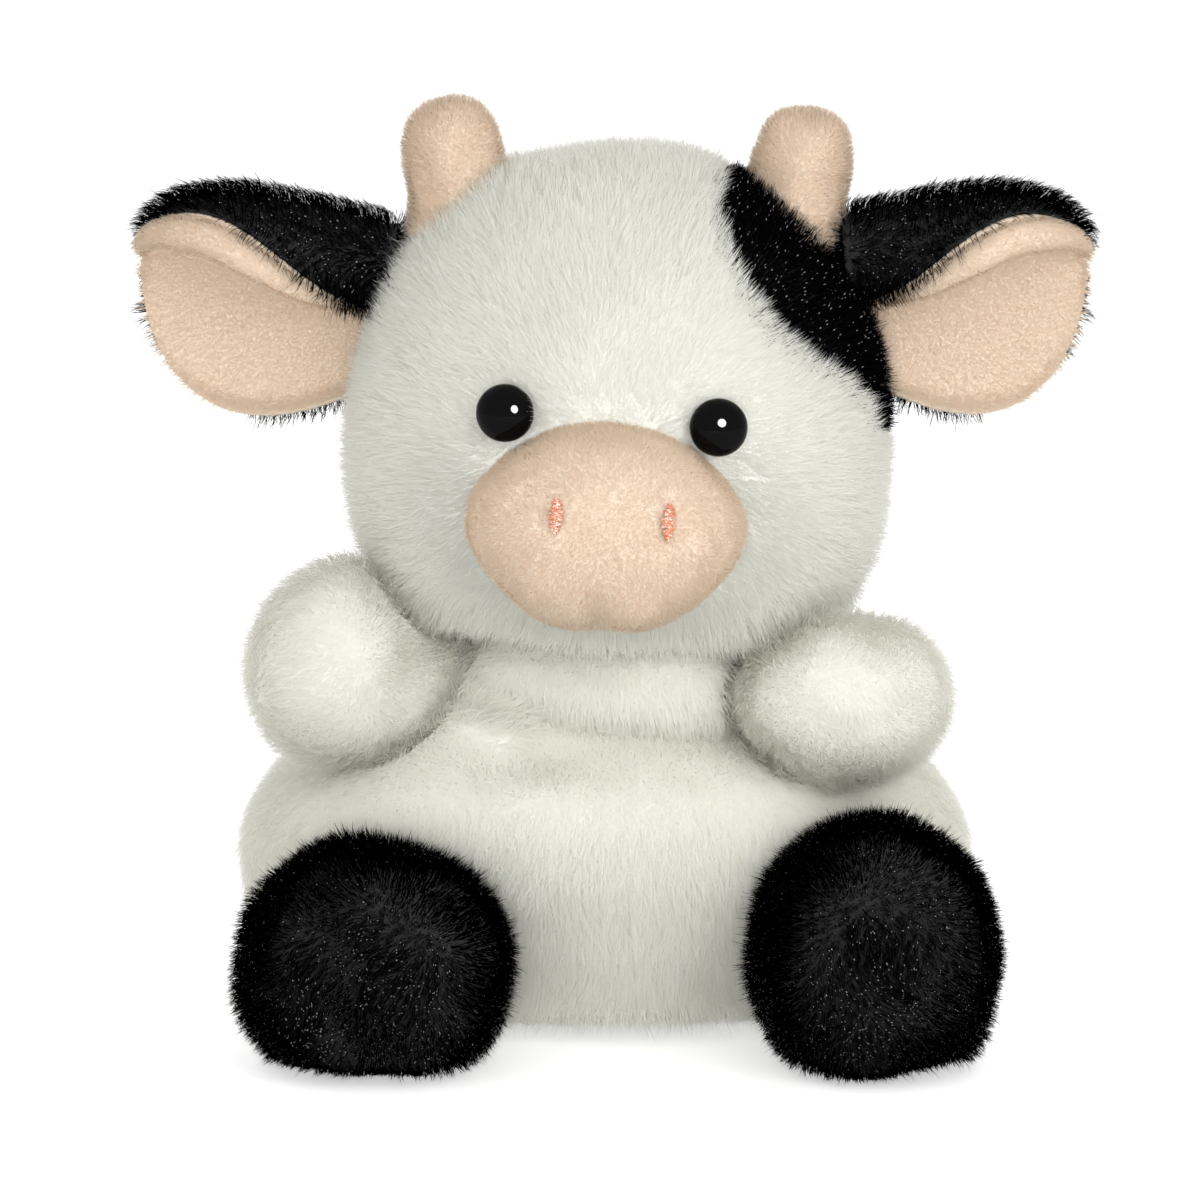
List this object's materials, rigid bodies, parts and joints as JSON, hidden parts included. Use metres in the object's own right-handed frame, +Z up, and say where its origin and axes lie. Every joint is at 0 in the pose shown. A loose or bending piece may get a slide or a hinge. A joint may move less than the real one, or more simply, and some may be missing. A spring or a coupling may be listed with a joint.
{
  "type": "plush cow",
  "caption": "Small seated plush cow: soft head that turns and nods, cupped flopping ears, stub arms, round feet, hanging tail and a weighted seat.",
  "frame": {"origin": "on the floor, near the middle of the trunk's flat seat", "axes": "+X across the toy, from the left of the picture to its right; +Y from the face to the tail; +Z up"},
  "size_m": [0.1212, 0.0984, 0.1176],
  "materials": {
    "white_pile": "long soft pile",
    "black_pile": "long soft pile with a light sheen",
    "peach_pile": "short velour pile",
    "coral_thread": "satin stitch",
    "fibre": "loose fibre filling",
    "linen": "plain weave pouch of pellets",
    "black_plastic": "polished",
    "clear_plastic": "moulded"
  },
  "bodies": {
    "torso": {"body_cover": "white_pile", "body_filling": "fibre", "bean_bag": "linen"},
    "neck": {"neck_filling": "fibre"},
    "head": {"head_cover": "white_pile", "head_patch": "black_pile", "head_filling": "fibre", "muzzle_cover": "peach_pile", "muzzle_filling": "fibre", "nostril_left": "coral_thread", "nostril_right": "coral_thread", "eye_left": "black_plastic", "eye_right": "black_plastic", "eye_washer_left": "clear_plastic", "eye_washer_right": "clear_plastic", "horn_cover_left": "peach_pile", "horn_cover_right": "peach_pile", "horn_filling_left": "fibre", "horn_filling_right": "fibre"},
    "ear_left": {"ear_back_left": "black_pile", "ear_lining_left": "peach_pile"},
    "ear_right": {"ear_back_right": "black_pile", "ear_lining_right": "peach_pile"},
    "arm_left": {"arm_cover_left": "white_pile", "arm_filling_left": "fibre"},
    "arm_right": {"arm_cover_right": "white_pile", "arm_filling_right": "fibre"},
    "foot_left": {"foot_cover_left": "black_pile", "foot_filling_left": "fibre"},
    "foot_right": {"foot_cover_right": "black_pile", "foot_filling_right": "fibre"},
    "tail": {"tail_cord": "white_pile", "tail_tuft": "black_pile"}
  },
  "joints": [
    {"name": "head_turn", "type": "hinge", "parent": "torso", "child": "neck", "pos_m": [-0.0005, -0.008, 0], "axis": [0, 0, 1], "range_deg": [-15, 15], "stiffness_Nm_per_rad": 0.1},
    {"name": "head_nod", "type": "hinge", "parent": "neck", "child": "head", "pos_m": [-0.0005, -0.008, 0.0533], "axis": [1, 0, 0], "range_deg": [-5, 5], "stiffness_Nm_per_rad": 0.2},
    {"name": "ear_left_flop", "type": "hinge", "parent": "head", "child": "ear_left", "pos_m": [-0.02785, -0.00226, 0.09433], "axis": [0, 1, 0], "range_deg": [-10, 10], "stiffness_Nm_per_rad": 0.01},
    {"name": "ear_right_flop", "type": "hinge", "parent": "head", "child": "ear_right", "pos_m": [0.0298, -0.00549, 0.09597], "axis": [0, 1, 0], "range_deg": [-10, 10], "stiffness_Nm_per_rad": 0.01},
    {"name": "arm_left_swing", "type": "hinge", "parent": "torso", "child": "arm_left", "pos_m": [-0.02567, -0.01134, 0.04485], "axis": [0, 0, 1], "range_deg": [-12, 12], "stiffness_Nm_per_rad": 0.02},
    {"name": "arm_right_swing", "type": "hinge", "parent": "torso", "child": "arm_right", "pos_m": [0.02538, -0.01344, 0.04239], "axis": [0, 0, 1], "range_deg": [-12, 12], "stiffness_Nm_per_rad": 0.02},
    {"name": "foot_left_splay", "type": "hinge", "parent": "torso", "child": "foot_left", "pos_m": [-0.02804, -0.03, 0], "axis": [0, 0, 1], "range_deg": [-15, 15], "stiffness_Nm_per_rad": 0.04},
    {"name": "foot_right_splay", "type": "hinge", "parent": "torso", "child": "foot_right", "pos_m": [0.03104, -0.03, 0], "axis": [0, 0, 1], "range_deg": [-15, 15], "stiffness_Nm_per_rad": 0.04},
    {"name": "tail_swing", "type": "hinge", "parent": "torso", "child": "tail", "pos_m": [-0.00078, 0.03403, 0.02077], "axis": [0, 1, 0], "range_deg": [-25, 25], "stiffness_Nm_per_rad": 0.002}
  ]
}
